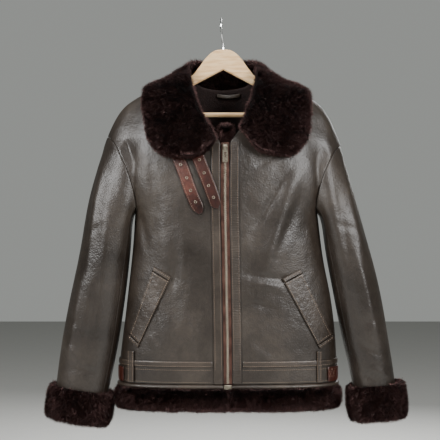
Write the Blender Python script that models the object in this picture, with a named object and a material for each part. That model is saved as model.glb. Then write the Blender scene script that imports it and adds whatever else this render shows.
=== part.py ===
# Sheepskin flying jacket on a wooden hanger.
# Sizes and tables are in millimetres and are turned to metres when a mesh is made.
# X runs to the viewer's right, -Y is the front, +Z is up. The origin is the inside top of the hook's crook.
import math

import bmesh
import bpy
import numpy as np
from mathutils import Vector
from mathutils.bvhtree import BVHTree

MM = 0.001
LEFT, RIGHT = -1, 1
SIDE_NAME = {LEFT: "left", RIGHT: "right"}
FRONT, BACK = -1, 1

# Driving sizes
GARMENT_X = 5.0
WALL = 8.0
SEAM = 0.2
LAY = 0.6
LEATHER = 2.4
FALL = 300.0
FALL_POWER = 0.6
PIT_Z = -425.0
PIT_DIP = 22.0
NECK_SPREAD = 20.0
WAIST_Z = -747.0
BAND_BOTTOM = -790.0
BINDING_BOTTOM = -800.6
FUR_BOTTOM = -845.0
FUR_PINCH = 0.5
BACK_NECK_Z = -150.0
FRONT_NECK_Z = -272.0
ZIP_HALF = 9.3
SLIDER_Z = -286.0

# Counts of columns and rows
SHOULDER_COLUMNS = 8
NECK_COLUMNS = 5
COLUMNS = SHOULDER_COLUMNS + NECK_COLUMNS
UPPER_ROWS = 10
LOWER_ROWS = 8
SLEEVE_ROWS = 12

# Shoulder line: distance from the centre, height
SHOULDER = {
    LEFT: [(0, -73), (80, -115), (210, -184), (225, -197), (236, -214), (246, -236), (255, -257)],
    RIGHT: [(0, -73), (80, -115), (210, -184), (225, -199), (236, -218), (244, -240), (252, -259), (259, -277)],
}

# Body: height, half width left, half width right, front depth, back depth
BODY = [
    (-60, 330, 330, 86, 78),
    (-257, 284, 290, 88, 80),
    (-330, 275, 283, 88, 82),
    (-376, 243, 256, 89, 83),
    (-425, 194, 207, 90, 83),
    (-484, 197, 214, 91, 83),
    (-528, 201, 219, 91, 83),
    (-572, 206, 229, 91, 83),
    (-616, 211, 237, 91, 84),
    (-660, 216, 243, 92, 84),
    (-704, 222, 247, 92, 85),
    (-748, 227, 249, 91, 85),
    (-850, 230, 251, 91, 85),
]
BODY_POWER = 2.7

# Centre front: height, place of the zip's middle
CENTRE_FRONT = [(-262, 4.0), (-410, 3.4), (-484, 5.2), (-600, 7.0), (-700, 8.8), (-850, 9.8)]

# Neckline: height, distance from the centre
NECK_FRONT = [(-115, 80), (-140, 79), (-163, 75), (-185, 68), (-210, 57), (-235, 42), (-256, 26), (-272, 9)]
NECK_BACK = [(-115, 80), (-127, 74), (-138, 60), (-146, 38), (-150, 0)]

# Armhole: shoulder tip, underarm point, how far it bows towards the body
ARMHOLE = {
    LEFT: {"tip": (255, -257), "pit": (194, -425), "bow": 20},
    RIGHT: {"tip": (259, -277), "pit": (207, -425), "bow": 20},
}

# Sleeve: outer edge (distance, height), inner edge (distance, height), half depth
SLEEVE = {
    LEFT: [
        (255, -257, 194.0, -425, 66),
        (268, -292, 201.5, -434, 66),
        (281, -334, 203.0, -448, 67),
        (294, -380, 203.0, -468, 67),
        (304, -432, 203.0, -497, 67),
        (312, -492, 206.0, -535, 66),
        (325, -556, 211.5, -586, 63),
        (340, -622, 219.5, -646, 60),
        (352, -688, 228.5, -706, 57),
        (361, -745, 239.0, -760, 54),
        (367, -798, 251.0, -816, 51),
        (371, -817, 256.0, -837, 49),
    ],
    RIGHT: [
        (259, -277, 207.0, -425, 64),
        (268, -309, 217.0, -434, 65),
        (280, -352, 221.0, -448, 67),
        (292, -394, 222.0, -468, 67),
        (305, -444, 223.5, -497, 67),
        (320, -498, 228.5, -535, 66),
        (336, -556, 238.5, -586, 63),
        (351, -625, 249.5, -646, 60),
        (361, -690, 262.0, -706, 57),
        (371, -748, 275.5, -760, 54),
        (377, -794, 284.5, -808, 51),
        (380, -812, 288.5, -828, 49),
    ],
}
SLEEVE_POWER = 2.2
UNDER_FROM, UNDER_TO = 8, 12
CALMINGS = 4

# Folds of the front and sleeves: start (x, z), end (x, z), half width, height outwards
FOLDS_FRONT = [
    (-210, -214, -200, -290, 13, -9),
    (-200, -290, -192, -390, 13, -8),
    (206, -218, 204, -300, 13, -9),
    (204, -300, 206, -390, 13, -8),
    (152, -345, 92, -540, 20, 4.5),
    (128, -350, 60, -470, 16, -2.5),
    (60, -545, 168, -567, 17, -4),
    (52, -585, 140, -607, 18, 3),
    (-96, -530, -112, -600, 17, -3.5),
    (-110, -400, -104, -520, 26, 3),
    (-150, -620, -100, -690, 15, 2.5),
    (-262, -310, -296, -470, 14, 4),
    (-278, -470, -262, -560, 13, -3.5),
    (-290, -520, -322, -700, 15, 3.5),
    (-300, -690, -262, -730, 9, -3),
    (-318, -752, -268, -770, 8, -3),
    (278, -330, 300, -470, 14, 4),
    (262, -440, 284, -560, 13, -3.5),
    (300, -560, 334, -720, 15, 3.5),
    (296, -700, 340, -730, 9, -3),
    (310, -756, 352, -768, 8, -3),
]
FOLDS_BACK = [
    (-210, -214, -196, -390, 13, -8),
    (206, -218, 205, -390, 13, -8),
    (-140, -330, -80, -520, 22, 4),
    (140, -350, 70, -540, 22, 4),
    (-70, -580, 90, -600, 15, -3.5),
    (-90, -620, 60, -634, 15, 3),
    (-262, -310, -300, -480, 14, 4),
    (278, -330, 306, -480, 14, 4),
    (-296, -700, -258, -728, 9, -3),
    (300, -705, 344, -728, 9, -3),
]

# Collar, from its front end to the middle of the back. A drop is how far a point of the body lies below
# the shoulder line, negative in front.
# columns: neck distance, neck drop, roll distance, roll y, roll height, edge distance, edge drop,
# leaf thickness, lift of the underside, how far the leaf bulges down
COLLAR_END = {
    LEFT: [
        (15, -187, 13, -105, -264, 122, -172, 19, 9.5, 30),
        (26, -169, 24, -104, -246, 156, -139, 22, 9.5, 20),
        (40, -144, 37, -100, -225, 169, -88, 23, 3, 8),
    ],
    RIGHT: [
        (38, -148, 34, -104, -242, 134, -167, 19, 3, 34),
        (44, -136, 41, -102, -228, 170, -136, 22, 3, 22),
        (50, -124, 47, -98, -215, 184, -88, 23, 3, 8),
    ],
}
COLLAR_REST = [
    (54, -114, 50, -93, -203, 172, -48, 23, 1.6, 0),
    (68, -76, 62, -76, -168, 172, -21, 23, 1.6, 0),
    (77, -39, 68, -50, -130, 170, -5, 23, 1.6, 0),
    (80, 0, 72, -8, -92, 164, 13, 23, 1.6, 0),
    (74, 15, 66, 30, -83, 140, 43, 23, 1.6, 0),
    (42, 50, 40, 56, -80, 80, 89, 23, 1.6, 0),
    (0, 77, 0, 64, -80, 0, 135, 23, 1.6, 0),
]
COLLAR_REACH = {LEFT: 1.0, RIGHT: 1.09}
COLLAR_STEPS = 2
TOP_POINTS = slice(2, 10)
SMOOTHINGS = 3
RIDGE_LIFT = 12.0

# Cuffs: middle (distance, height), half width, half depth, length, tilt in degrees
CUFF = {
    LEFT: {"middle": (315, -843), "half_width": 74, "half_depth": 60, "length": 80, "tilt": 9.5},
    RIGHT: {"middle": (337.5, -835), "half_width": 66, "half_depth": 60, "length": 84, "tilt": 5.0},
}

# Pocket welts: corners as distance from the centre and height, in order round the welt
WELT = {
    LEFT: [(149, -538), (110, -561), (183, -715), (205, -695)],
    RIGHT: [(165, -544), (124, -565), (206, -717), (239, -697)],
}
CAP = 10.0

# Collar straps: middle line from the hidden root to the tip
STRAP_WIDTH = 27.0
STRAP_OUTER = [(-99, -301), (-94, -313), (-83.5, -339), (-73, -370), (-61.5, -398), (-47.5, -427)]
STRAP_INNER = [(-54, -305), (-51, -313), (-40.5, -339), (-30, -367), (-22, -389), (-13.5, -416)]

# Hanger
BOARD_HALF = 5.0
BAR_Z = -209.0
BAR_RADIUS = 5.5
BAR_HALF = 182.7
WIRE_RADIUS = 1.8
CROOK_RADIUS = 16.0
WIRE_SIDES = 8

# Colours
LEATHER_BROWN = "3a322b"
PILE_BROWN = "33221f"
STRAP_BROWN = "5a2a22"
TAPE_ROSE = "8a5248"
NICKEL = "8f887c"
BEECH = "d9b384"
CHROME = "c9c9c9"


def clear_scene():
    for item in list(bpy.data.objects):
        bpy.data.objects.remove(item)


def linear(channel):
    return channel / 12.92 if channel <= 0.04045 else ((channel + 0.055) / 1.055) ** 2.4


def paint(item, colour, roughness, metallic=0.0):
    material = bpy.data.materials.new(item.name)
    material.use_nodes = True
    shader = material.node_tree.nodes["Principled BSDF"]
    rgb = [linear(int(colour[i:i + 2], 16) / 255) for i in (0, 2, 4)]
    shader.inputs["Base Color"].default_value = (*rgb, 1)
    shader.inputs["Roughness"].default_value = roughness
    shader.inputs["Metallic"].default_value = metallic
    item.data.materials.append(material)


def follow(table, at, column=1):
    # A smooth line through one column of a table, read against its first column, without overshoot
    rows = sorted(table)
    knots = np.array([row[0] for row in rows], float)
    values = np.array([row[column] for row in rows], float)
    step = np.diff(knots)
    slope = np.diff(values) / step
    tangent = np.concatenate(([slope[0]], np.zeros(len(knots) - 2), [slope[-1]]))
    product = slope[:-1] * slope[1:]
    total = slope[:-1] + slope[1:]
    tangent[1:-1] = np.where(product > 0, 2 * product / np.where(total == 0, 1, total), 0)
    at = np.clip(np.asarray(at, float), knots[0], knots[-1])
    cell = np.clip(np.searchsorted(knots, at) - 1, 0, len(step) - 1)
    t = (at - knots[cell]) / step[cell]
    reach = step[cell]
    start = (1 + 2 * t) * (1 - t) ** 2 * values[cell] + t * (1 - t) ** 2 * reach * tangent[cell]
    return start + t * t * (3 - 2 * t) * values[cell + 1] - t * t * (1 - t) * reach * tangent[cell + 1]


def unit(vectors):
    length = np.linalg.norm(vectors, axis=-1, keepdims=True)
    return vectors / np.where(length < 1e-9, 1, length)


def curve_through(points, count):
    # Evenly spaced points on a smooth curve through the given ones
    points = np.array(points, float)
    index = np.arange(len(points))
    fine = np.linspace(0, len(points) - 1, 40 * len(points))
    tables = [[(i, p[axis]) for i, p in zip(index, points)] for axis in range(points.shape[1])]
    dense = np.stack([follow(table, fine) for table in tables], axis=-1)
    return evenly(dense, count)


def evenly(dense, count):
    length = np.concatenate(([0], np.cumsum(np.linalg.norm(np.diff(dense, axis=0), axis=1))))
    at = np.linspace(0, length[-1], count)
    return np.stack([np.interp(at, length, dense[:, axis]) for axis in range(dense.shape[1])], axis=-1)


def body_y(reach, z, side, face):
    # Depth of the jacket's outer surface at a distance from the centre and a height
    half = follow(BODY, z, 1 if side == LEFT else 2)
    depth = follow(BODY, z, 3 if face == FRONT else 4)
    drop = np.clip((follow(SHOULDER[side], reach) - z) / FALL, 0, 1)
    slope = np.sin(math.pi / 2 * drop ** FALL_POWER)
    across = np.clip(np.abs(reach) / half, 0, 1)
    return face * depth * slope * (1 - across ** BODY_POWER) ** (1 / BODY_POWER)


def fold(points):
    # Creases pushed in or out along Y, fading towards the sides
    moved = points.copy()
    for face, folds in ((FRONT, FOLDS_FRONT), (BACK, FOLDS_BACK)):
        height = np.zeros(points.shape[:-1])
        for x0, z0, x1, z1, width, rise in folds:
            run = np.array([x1 - x0, z1 - z0], float)
            here = points[..., [0, 2]] - (x0, z0)
            along = np.clip(here @ run / (run @ run), 0, 1)
            away = np.linalg.norm(here - along[..., None] * run, axis=-1)
            height += rise * np.exp(-(away / width) ** 2)
        weight = np.clip(points[..., 1] * face / 45, 0, 1)
        moved[..., 1] += face * height * weight
    return moved


def armhole(side, degrees):
    # The armhole seam seen from the front: from the shoulder tip (0) to the underarm (180)
    tip = np.array(ARMHOLE[side]["tip"], float)
    pit = np.array(ARMHOLE[side]["pit"], float)
    angle = np.radians(degrees)[..., None]
    middle = (tip + pit) / 2
    bow = np.array([ARMHOLE[side]["bow"], 0.0])
    return middle + (tip - pit) / 2 * np.cos(angle) - bow * np.sin(angle)


def armhole_point(side, face, degrees):
    flat = armhole(side, degrees)
    y = body_y(flat[..., 0], flat[..., 1], side, face)
    return np.stack([side * flat[..., 0], y, flat[..., 1]], axis=-1)


def centre_edge(side, z):
    # Distance from the centre to the folded edge beside the zip
    return side * follow(CENTRE_FRONT, z) + ZIP_HALF


def section(side, face, z, inner, dip=0.0):
    # Half a section of the body, from the side seam to the inner distance, evenly spaced; it may dip
    half = float(follow(BODY, z, 1 if side == LEFT else 2))
    sweep = np.sin(np.linspace(math.pi / 2, 0, 200))
    reach = inner + (half - inner) * sweep
    height = z - dip * np.clip((half - reach) / 60, 0, 1) ** 0.5
    y = body_y(reach, np.full_like(reach, z), side, face)
    dense = np.stack([side * reach, y, height], axis=-1)
    return evenly(dense, COLUMNS + 1)


def half_panel(side, face):
    # Rows of points from the shoulder seam to the waist, each from the armhole or side to the centre
    inner = float(centre_edge(side, PIT_Z)) if face == FRONT else 0.0
    neck_inner = float(centre_edge(side, FRONT_NECK_Z)) if face == FRONT else 0.0
    neck_z = FRONT_NECK_Z if face == FRONT else BACK_NECK_Z
    pit_row = section(side, face, PIT_Z, inner)
    share = (side * pit_row[0, 0] - side * pit_row[:, 0]) / (side * pit_row[0, 0] - side * pit_row[-1, 0])
    tip = ARMHOLE[side]["tip"]
    spread = (np.arange(SHOULDER_COLUMNS + 1) / SHOULDER_COLUMNS) ** 1.15
    seam_reach = tip[0] + (80 - tip[0]) * spread
    seam = np.stack([seam_reach, follow(SHOULDER[side], seam_reach)], axis=-1)
    table = NECK_FRONT if face == FRONT else NECK_BACK
    fine_z = np.linspace(-115, neck_z, 100)
    neck = np.stack([follow(table, fine_z), fine_z], axis=-1)
    neck[:, 0] += (neck_inner - neck[-1, 0]) * np.linspace(0, 1, 100) ** 2
    top = np.concatenate([seam, evenly(neck, NECK_COLUMNS + 1)[1:]])
    rows = []
    for k in range(UPPER_ROWS):
        down = k / UPPER_ROWS
        fade = 1 - down ** 1.5
        outer = armhole(side, np.array(180.0 * down))
        middle_z = neck_z + (PIT_Z - neck_z) * down ** 1.1
        middle_reach = float(centre_edge(side, middle_z)) if face == FRONT else 0.0
        centre = np.array([middle_reach, middle_z])
        straight = outer + (centre - outer) * share[:, None]
        start = top[0] + (top[-1] - top[0]) * share[:, None]
        flat = straight + fade * (top - start)
        if face == FRONT:
            column = np.arange(COLUMNS + 1)
            beside_neck = np.exp(-((column - SHOULDER_COLUMNS - 0.5) / 2.2) ** 2)
            flat[:, 0] += NECK_SPREAD * math.sin(math.pi * down ** 0.55) * beside_neck
        y = body_y(flat[:, 0], flat[:, 1], side, face)
        rows.append(np.stack([side * flat[:, 0], y, flat[:, 1]], axis=-1))
    for k, z in enumerate(np.linspace(PIT_Z, WAIST_Z, LOWER_ROWS + 1)):
        inner = float(centre_edge(side, z)) if face == FRONT else 0.0
        rows.append(section(side, face, z, inner, PIT_DIP * max(0.0, 1 - k / 3)))
    return np.array(rows)


def grid_normals(grid, wrap=False):
    # Outward directions of a grid of points, judged from its neighbours
    if wrap:
        across = np.roll(grid, -1, axis=1) - np.roll(grid, 1, axis=1)
    else:
        across = np.gradient(grid, axis=1)
    down = np.gradient(grid, axis=0)
    return unit(np.cross(across, down))


def calm(directions, passes, wrap=False):
    # Directions over a grid blended with their neighbours, so that a wall offset along them can't cross itself
    for _ in range(passes):
        wide = np.pad(directions, ((1, 1), (0, 0), (0, 0)), mode="edge")
        wide = np.pad(wide, ((0, 0), (1, 1), (0, 0)), mode="wrap" if wrap else "edge")
        near = wide[:-2, 1:-1] + wide[2:, 1:-1] + wide[1:-1, :-2] + wide[1:-1, 2:]
        directions = unit(2 * directions + near)
    return directions


def facing(normals, grid, centre):
    # Turned so that they point away from a line of centres
    out = np.sum(normals * (grid - centre), axis=-1)
    return normals * (1 if np.median(out) > 0 else -1)


def inset(grid, edges):
    # Each named edge of the grid drawn back by half a seam gap
    moved = grid.copy()
    for edge in edges:
        if edge == "top":
            moved[0] += SEAM * unit(grid[1] - grid[0])
        if edge == "bottom":
            moved[-1] += SEAM * unit(grid[-2] - grid[-1])
        if edge == "first":
            moved[:, 0] += SEAM * unit(grid[:, 1] - grid[:, 0])
        if edge == "last":
            moved[:, -1] += SEAM * unit(grid[:, -2] - grid[:, -1])
    return moved


def place(name, bm, parent, colour, roughness, metallic=0.0, smooth=35):
    # Mesh and object of one piece, its faces pointing out
    bmesh.ops.recalc_face_normals(bm, faces=bm.faces)
    mesh = bpy.data.meshes.new(name)
    bm.to_mesh(mesh)
    bm.free()
    mesh.shade_smooth()
    mesh.set_sharp_from_angle(angle=math.radians(smooth))
    item = bpy.data.objects.new(name, mesh)
    bpy.context.collection.objects.link(item)
    item.parent = parent
    paint(item, colour, roughness, metallic)
    return item


def wall(name, outer, inner, parent, colour=LEATHER_BROWN, roughness=0.45, edges=("top", "bottom", "first", "last")):
    # A closed wall between an outer and an inner grid of points
    outer, inner = inset(outer, edges), inset(inner, edges)
    rows, columns = outer.shape[:2]
    bm = bmesh.new()
    front = [[bm.verts.new(Vector(p) * MM) for p in row] for row in outer]
    rear = [[bm.verts.new(Vector(p) * MM) for p in row] for row in inner]
    for i in range(rows - 1):
        for j in range(columns - 1):
            bm.faces.new((front[i][j], front[i][j + 1], front[i + 1][j + 1], front[i + 1][j]))
            bm.faces.new((rear[i + 1][j], rear[i + 1][j + 1], rear[i][j + 1], rear[i][j]))
    for i in range(rows - 1):
        for j in (0, columns - 1):
            rim(bm, front[i][j], front[i + 1][j], rear[i + 1][j], rear[i][j])
    for j in range(columns - 1):
        for i in (0, rows - 1):
            rim(bm, front[i][j], front[i][j + 1], rear[i][j + 1], rear[i][j])
    place(name, bm, parent, colour, roughness)


def rim(bm, first, second, second_inner, first_inner):
    # One stretch of a wall's edge, split the same way on both walls of a seam
    if first.co.z > second.co.z:
        bm.faces.new((first, second, second_inner))
        bm.faces.new((first, second_inner, first_inner))
    else:
        bm.faces.new((first, second, first_inner))
        bm.faces.new((second, second_inner, first_inner))


def loft(name, rings, parent, colour, roughness, closed=False, metallic=0.0):
    # A solid through closed sections, capped at both ends or joined into a ring
    bm = bmesh.new()
    verts = [[bm.verts.new(Vector(p) * MM) for p in ring] for ring in rings]
    count, around = len(rings), len(rings[0])
    for i in range(count if closed else count - 1):
        here, there = verts[i], verts[(i + 1) % count]
        for j in range(around):
            k = (j + 1) % around
            bm.faces.new((here[j], here[k], there[k], there[j]))
    if not closed:
        bm.faces.new(verts[0])
        bm.faces.new(verts[-1])
    place(name, bm, parent, colour, roughness, metallic)


def body_panels(parent):
    # Fronts, back and sleeves share their points, and at each seam one direction for both walls
    grids = {}
    for side in (LEFT, RIGHT):
        for face in (FRONT, BACK):
            grids[side, face] = half_panel(side, face)
    normals = {}
    for key, grid in grids.items():
        normals[key] = calm(facing(grid_normals(grid), grid, grid * (0, 0, 1)), CALMINGS)
    sleeves = {side: sleeve_grid(side) for side in (LEFT, RIGHT)}
    sleeve_out = {}
    for side, grid in sleeves.items():
        centre = grid.mean(axis=1, keepdims=True)
        sleeve_out[side] = calm(facing(grid_normals(grid, wrap=True), grid, centre), 1, wrap=True)
    grids = {key: fold(grid) for key, grid in grids.items()}
    sleeves = {side: fold(grid) for side, grid in sleeves.items()}
    inner = {}
    for side in (LEFT, RIGHT):
        for face in (FRONT, BACK):
            normal = normals[side, face]
            normal[UPPER_ROWS:, 0, 1] = 0
            normal[-1, :, 2] = 0
            other = normals[side, -face]
            shared = normal[0, :SHOULDER_COLUMNS + 1] + other[0, :SHOULDER_COLUMNS + 1]
            shared[:, 1] = 0
            normal[0, :SHOULDER_COLUMNS + 1] = shared
            normal[:, -1, 0] = 0
            normals[side, face] = unit(normal)
    for side in (LEFT, RIGHT):
        ring = sleeves[side][0]
        centre = ring.mean(axis=0)
        sleeve_inner = sleeves[side] - WALL * sleeve_out[side]
        for face in (FRONT, BACK):
            grid = grids[side, face]
            wall_inner = grid - WALL * normals[side, face]
            for k in range(UPPER_ROWS + 1):
                turn = k if face == FRONT else (2 * UPPER_ROWS - k) % (2 * UPPER_ROWS)
                both = (normals[side, face][k, 0] + sleeve_out[side][0, turn]) / 2
                rim = unit(0.4 * unit(centre - ring[turn]) - both)
                lean = np.linalg.norm(both)
                stretch = 0.5 + 0.5 * lean
                wall_inner[k, 0] = grid[k, 0] + rim * WALL * stretch
                sleeve_inner[0, turn] = ring[turn] + rim * WALL * stretch
            inner[side, face] = wall_inner
        name = SIDE_NAME[side]
        wall(f"front_{name}", grids[side, FRONT], inner[side, FRONT], parent)
        around = list(range(UNDER_TO, 2 * UPPER_ROWS)) + list(range(UNDER_FROM + 1))
        wall(f"sleeve_{name}_upper", sleeves[side][:, around], sleeve_inner[:, around], parent)
        around = list(range(UNDER_FROM, UNDER_TO + 1))
        wall(f"sleeve_{name}_under", sleeves[side][:, around], sleeve_inner[:, around], parent)
    whole = np.concatenate([grids[LEFT, BACK], grids[RIGHT, BACK][:, -2::-1]], axis=1)
    whole_inner = np.concatenate([inner[LEFT, BACK], inner[RIGHT, BACK][:, -2::-1]], axis=1)
    wall("back", whole, whole_inner, parent)
    return sleeves


def sleeve_grid(side):
    # Rings from the armhole to the cuff; the first is the armhole seam itself
    table = [(i, *row) for i, row in enumerate(SLEEVE[side])]
    degrees = np.arange(2 * UPPER_ROWS) * 180.0 / UPPER_ROWS
    angle = np.radians(degrees)
    round_cos = np.sign(np.cos(angle)) * np.abs(np.cos(angle)) ** (2 / SLEEVE_POWER)
    round_sin = np.sign(np.sin(angle)) * np.abs(np.sin(angle)) ** (2 / SLEEVE_POWER)
    rings = []
    for at in np.linspace(0, len(table) - 1, SLEEVE_ROWS):
        outer_x, outer_z, inner_x, inner_z, depth = [float(follow(table, at, column)) for column in range(1, 6)]
        x = (outer_x + inner_x) / 2 + (outer_x - inner_x) / 2 * round_cos
        z = (outer_z + inner_z) / 2 + (outer_z - inner_z) / 2 * round_cos
        rings.append(np.stack([side * x, -depth * round_sin, z], axis=-1))
    front = armhole_point(side, FRONT, degrees[:UPPER_ROWS + 1])
    back = armhole_point(side, BACK, 360 - degrees[UPPER_ROWS + 1:])
    spare = np.concatenate([front, back]) - rings[0]
    fade = np.clip(1 - np.arange(SLEEVE_ROWS) / 6, 0, 1)
    fade = fade * fade * (3 - 2 * fade)
    return np.array(rings) + fade[:, None, None] * spare


def cuff(side, sleeve, parent):
    # A thick turned-back ring of pile round the end of the sleeve
    size = CUFF[side]
    tilt = math.radians(size["tilt"])
    axis = np.array([side * math.sin(tilt), 0, -math.cos(tilt)])
    width = np.array([side * math.cos(tilt), 0, math.sin(tilt)])
    depth = np.array([0, -1.0, 0])
    middle = np.array([side * size["middle"][0], 0, size["middle"][1]])
    end = sleeve[-1]
    mouth = end.mean(axis=0)
    mouth_half = np.ptp(end[:, 0]) / 2
    mouth_depth = np.ptp(end[:, 1]) / 2
    # columns: place along the cuff in lengths from its middle, share of the half sizes
    outside = [
        (-0.47, 0.89), (-0.49, 0.95), (-0.38, 1.0), (-0.10, 1.03),
        (0.22, 1.02), (0.42, 0.98), (0.50, 0.90), (0.47, 0.82),
    ]
    # columns: place along the cuff from the sleeve's end, clearance round the sleeve
    inside = [(46, -2.0), (22, -1.0)]
    sleeve_axis = unit(sleeve[-1].mean(axis=0) - sleeve[-2].mean(axis=0))
    angle = np.arange(len(end)) * 2 * math.pi / len(end)
    round_cos = np.sign(np.cos(angle)) * np.abs(np.cos(angle)) ** (2 / SLEEVE_POWER)
    round_sin = np.sign(np.sin(angle)) * np.abs(np.sin(angle)) ** (2 / SLEEVE_POWER)
    rings = []
    for column, (across, ahead) in enumerate(zip(round_cos, round_sin)):
        ring = []
        for at, share in outside:
            spread = width * size["half_width"] * across + depth * size["half_depth"] * ahead
            ring.append(middle + axis * at * size["length"] + spread * share)
        for at, clear in inside:
            spread = width * (mouth_half + clear) * across + depth * (mouth_depth + clear) * ahead
            ring.append(mouth + axis * at + spread)
        lip = unit(sleeve[-1, column] - mouth)
        ring.append(sleeve[-1, column] + lip * 1.0 + sleeve_axis * 3.0)
        ring.append(sleeve[-1, column] + lip * 1.0)
        above = unit(sleeve[-2, column] - sleeve[-2].mean(axis=0))
        ring.append(sleeve[-1, column] * 0.2 + sleeve[-2, column] * 0.8 + above * 1.2)
        rings.append(ring)
    loft(f"cuff_{SIDE_NAME[side]}", rings, parent, PILE_BROWN, 0.95, closed=True)


def level_row(side, face, z, from_centre, guide=None):
    # A level line round half the body at a height, from the side seam to a distance from the centre
    inner = float(centre_edge(side, z)) if face == FRONT else 0.0
    row = fold(section(side, face, z, inner))
    guide = row if guide is None else guide
    reach = side * guide[:, 0]
    if from_centre < reach[-1] - 1:
        return np.concatenate([row, [[side * from_centre, row[-1, 1], z]]])
    last = np.count_nonzero(reach > from_centre + 1)
    share = (reach[last - 1] - from_centre) / (reach[last - 1] - reach[last])
    return np.concatenate([row[:last], [row[last - 1] + (row[last] - row[last - 1]) * share]])


def outwards(row):
    # Level directions away from a level line round the body, square to it and mitred at its corners
    step = unit(np.diff(row[:, :2], axis=0))
    square = np.stack([step[:, 1], -step[:, 0]], axis=-1)
    square *= np.sign(np.sum(square * (row[:-1, :2] + row[1:, :2]), axis=1))[:, None]
    joined = np.concatenate([square[:1], (square[1:] + square[:-1]) / 2, square[-1:]])
    joined /= np.sum(joined * joined, axis=1, keepdims=True)
    joined[0] = (np.sign(joined[0, 0]), 0)
    return np.concatenate([joined, np.zeros((len(row), 1))], axis=1)


def round_the_hem(name, side, face, z, profile, from_centre, parent, colour, roughness, pinch=1.0):
    # A strip, roll or band that follows the hem: its profile is (outwards, height) pairs
    levels = []
    for out, up in profile:
        pieces = []
        for half in (side,) if face == FRONT else (LEFT, RIGHT):
            inner = float(centre_edge(half, z)) if face == FRONT else 0.0
            guide = fold(section(half, face, z, inner))
            row = level_row(half, face, up, from_centre[half], guide)
            away = outwards(row)
            fade = np.clip(np.arange(len(row)) / 3, 0, 1)[:, None]
            moved = row + away * out * (pinch + (1 - pinch) * fade)
            moved[0, 1] += face * (SEAM + 0.05)
            pieces.append(moved)
        levels.append(pieces[0] if face == FRONT else np.concatenate([pieces[0], pieces[1][-2::-1]]))
    rings = [[level[j] for level in levels] for j in range(len(levels[0]))]
    loft(name, rings, parent, colour, roughness)


def rounded(out_from, out_to, low, high, corner):
    # A rectangle with round corners as (outwards, height) pairs
    points = []
    corners = [
        (out_to - corner, high - corner, 0), (out_from + corner, high - corner, 90),
        (out_from + corner, low + corner, 180), (out_to - corner, low + corner, 270),
    ]
    for x, z, start in corners:
        for turn in (0, 90):
            angle = math.radians(start + turn)
            points.append((x + corner * math.cos(angle), z + corner * math.sin(angle)))
    return points


def hem(parent):
    strip = {side: float(centre_edge(side, WAIST_Z)) + 22.4 for side in (LEFT, RIGHT)}
    edge = {side: float(centre_edge(side, BAND_BOTTOM)) + 0.1 for side in (LEFT, RIGHT)}
    middle = {side: side * float(follow(CENTRE_FRONT, FUR_BOTTOM)) + 0.3 for side in (LEFT, RIGHT)}
    none = {LEFT: 0.0, RIGHT: 0.0}
    band = [(0, WAIST_Z - SEAM), (0, BAND_BOTTOM), (-WALL, BAND_BOTTOM), (-WALL, WAIST_Z - SEAM)]
    over = [(0.7, -740), (2.3, -741.5), (2.5, WAIST_Z), (2.3, -752.5), (0.7, -754)]
    binding = rounded(-7, 4.5, BINDING_BOTTOM, BAND_BOTTOM - 0.4, 3.5)
    fur = rounded(-12, 14, FUR_BOTTOM, BINDING_BOTTOM - 0.4, 11)
    for side, face in ((LEFT, FRONT), (RIGHT, FRONT), (LEFT, BACK)):
        name = SIDE_NAME[side] if face == FRONT else "back"
        ahead = face == FRONT
        round_the_hem(f"band_{name}", side, face, -768, band, edge if ahead else none, parent, LEATHER_BROWN, 0.45)
        round_the_hem(f"waist_strip_{name}", side, face, WAIST_Z, over, strip if ahead else none, parent,
                      LEATHER_BROWN, 0.4)
        round_the_hem(f"hem_binding_{name}", side, face, -795, binding, edge if ahead else none, parent,
                      LEATHER_BROWN, 0.4)
        round_the_hem(f"hem_fur_{name}", side, face, -820, fur, middle if ahead else none, parent, PILE_BROWN, 0.95,
                      FUR_PINCH)


def tree_of(item):
    points = [item.matrix_world @ vertex.co for vertex in item.data.vertices]
    return BVHTree.FromPolygons(points, [tuple(face.vertices) for face in item.data.polygons])


def drape(trees, flat, face=FRONT):
    # Points of a flat grid (x, z) dropped onto the outside of the pieces, front or back
    landed = np.zeros((*flat.shape[:-1], 3))
    for index in np.ndindex(flat.shape[:-1]):
        x, z = flat[index]
        start = Vector((x * MM, face * 0.4, z * MM))
        hits = [tree.ray_cast(start, Vector((0, -face, 0)))[0] for tree in trees]
        found = [hit.y / MM for hit in hits if hit] or [float(follow_front(flat[index]))]
        landed[index] = (x, max(found, key=lambda y: y * face), z)
    return landed


def overlay(name, landed, gap, thick, parent, colour=LEATHER_BROWN, roughness=0.45, face=FRONT):
    # A flat piece that lies on what is under it, with its own thickness
    normal = grid_normals(landed)
    normal = normal * np.sign(np.sum(normal * (0, face, 0), axis=-1, keepdims=True))
    top = landed + normal * (gap + thick)
    top[0] += 0.4 * thick * unit(landed[1] - landed[0])
    top[-1] += 0.4 * thick * unit(landed[-2] - landed[-1])
    top[:, 0] += 0.4 * thick * unit(landed[:, 1] - landed[:, 0])
    top[:, -1] += 0.4 * thick * unit(landed[:, -2] - landed[:, -1])
    wall(name, top, landed + normal * gap, parent, colour, roughness, edges=())


def between(corners, rows, columns, from_row=0.0, to_row=1.0):
    # A flat grid between four corners, given in order round it
    a, b, c, d = [np.array(corner, float) for corner in corners]
    down = np.linspace(from_row, to_row, rows)[:, None, None]
    across = np.linspace(0, 1, columns)[None, :, None]
    return (a + (b - a) * across) * (1 - down) + (d + (c - d) * across) * down


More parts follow.
